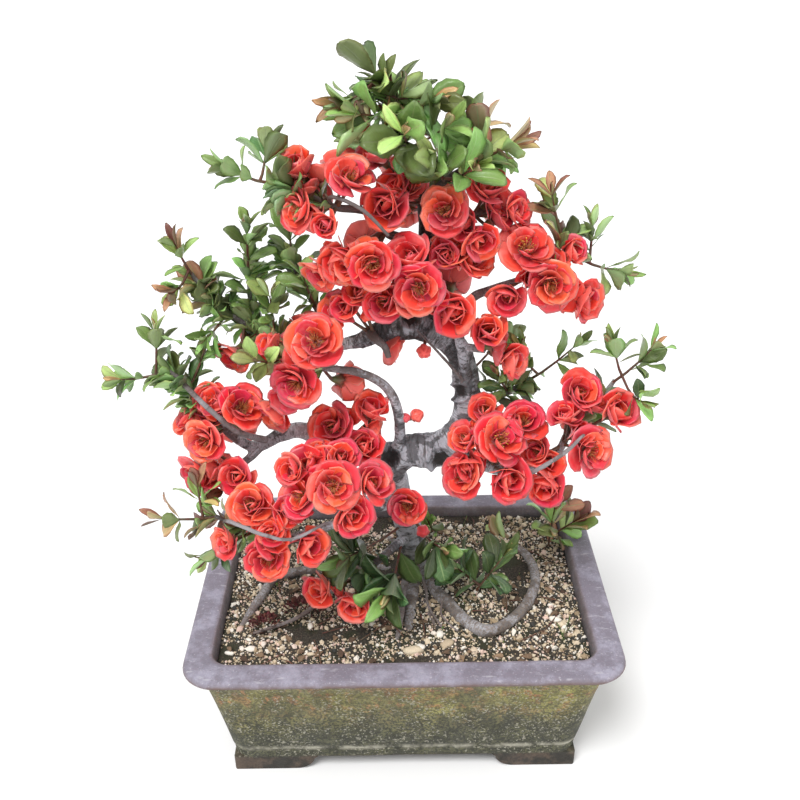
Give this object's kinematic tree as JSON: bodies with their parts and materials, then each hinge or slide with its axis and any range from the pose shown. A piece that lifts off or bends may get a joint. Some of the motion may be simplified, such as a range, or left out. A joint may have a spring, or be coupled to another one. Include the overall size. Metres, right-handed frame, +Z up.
{
  "type": "flowering quince bonsai in a pot",
  "caption": "Flowering quince bonsai with an S-curved trunk, red double blooms, leafy twigs and surface roots, in a rectangular stoneware pot with a flanged rim and corner feet.",
  "frame": {"origin": "on the surface that the pot's feet stand on, under the middle of the plant's sideways spread and of the pot's depth", "axes": "+Z up; the pot's long side runs along X and its front faces -Y, towards the picture's camera"},
  "size_m": [0.4449, 0.255, 0.6064],
  "materials": {
    "pot_stoneware": "unglazed stoneware, mauve-grey rim, body stained olive by algae",
    "soil_gravel": "fine pale gravel and dark soil",
    "bark": "rough grey bark with darker patches",
    "petal_red": "matte coral-red petals, paler and orange on their backs",
    "leaf_green": "glossy green leaf",
    "leaf_dark": "glossy dark green leaf",
    "leaf_pale": "young pale green leaf",
    "leaf_bronze": "young bronze-green leaf"
  },
  "bodies": {
    "root": {"blooms_crown": "petal_red", "blooms_crown_left": "petal_red", "blooms_crown_right": "petal_red", "blooms_heart": "petal_red", "blooms_heart_back": "petal_red", "blooms_heart_left": "petal_red", "blooms_heart_low": "petal_red", "blooms_heart_right": "petal_red", "blooms_left": "petal_red", "blooms_left_back": "petal_red", "blooms_left_low": "petal_red", "blooms_left_mid": "petal_red", "blooms_low_front": "petal_red", "blooms_low_left": "petal_red", "blooms_low_mid": "petal_red", "blooms_middle": "petal_red", "blooms_right_low": "petal_red", "blooms_right_tip": "petal_red", "blooms_right_upper": "petal_red", "blooms_spur": "petal_red", "blooms_trunk_foot": "petal_red", "leaves_apex": "leaf_bronze", "leaves_apex_back": "leaf_green", "leaves_apex_low": "leaf_green", "leaves_apex_mid": "leaf_green", "leaves_back_left": "leaf_green", "leaves_back_right": "leaf_green", "leaves_crown_front": "leaf_green", "leaves_crown_left": "leaf_green", "leaves_crown_right": "leaf_bronze", "leaves_foot_down": "leaf_dark", "leaves_foot_left": "leaf_dark", "leaves_foot_right": "leaf_dark", "leaves_heart_left": "leaf_green", "leaves_left_fork": "leaf_green", "leaves_left_mid": "leaf_bronze", "leaves_left_mid_back": "leaf_green", "leaves_left_mid_low": "leaf_green", "leaves_left_mid_side": "leaf_green", "leaves_left_mid_up": "leaf_green", "leaves_left_tip": "leaf_green", "leaves_low_left_down": "leaf_green", "leaves_low_left_tip": "leaf_bronze", "leaves_right_mid": "leaf_green", "leaves_right_mid_low": "leaf_green", "leaves_right_tip": "leaf_green", "leaves_right_upper_tip": "leaf_green", "leaves_right_upper_top": "leaf_bronze", "leaves_rosette": "leaf_pale", "leaves_sprig_bronze": "leaf_bronze", "leaves_sprig_green": "leaf_dark", "leaves_sprig_small": "leaf_green", "pot": "pot_stoneware", "soil": "soil_gravel", "trunk_branches_roots": "bark"}
  },
  "joints": []
}
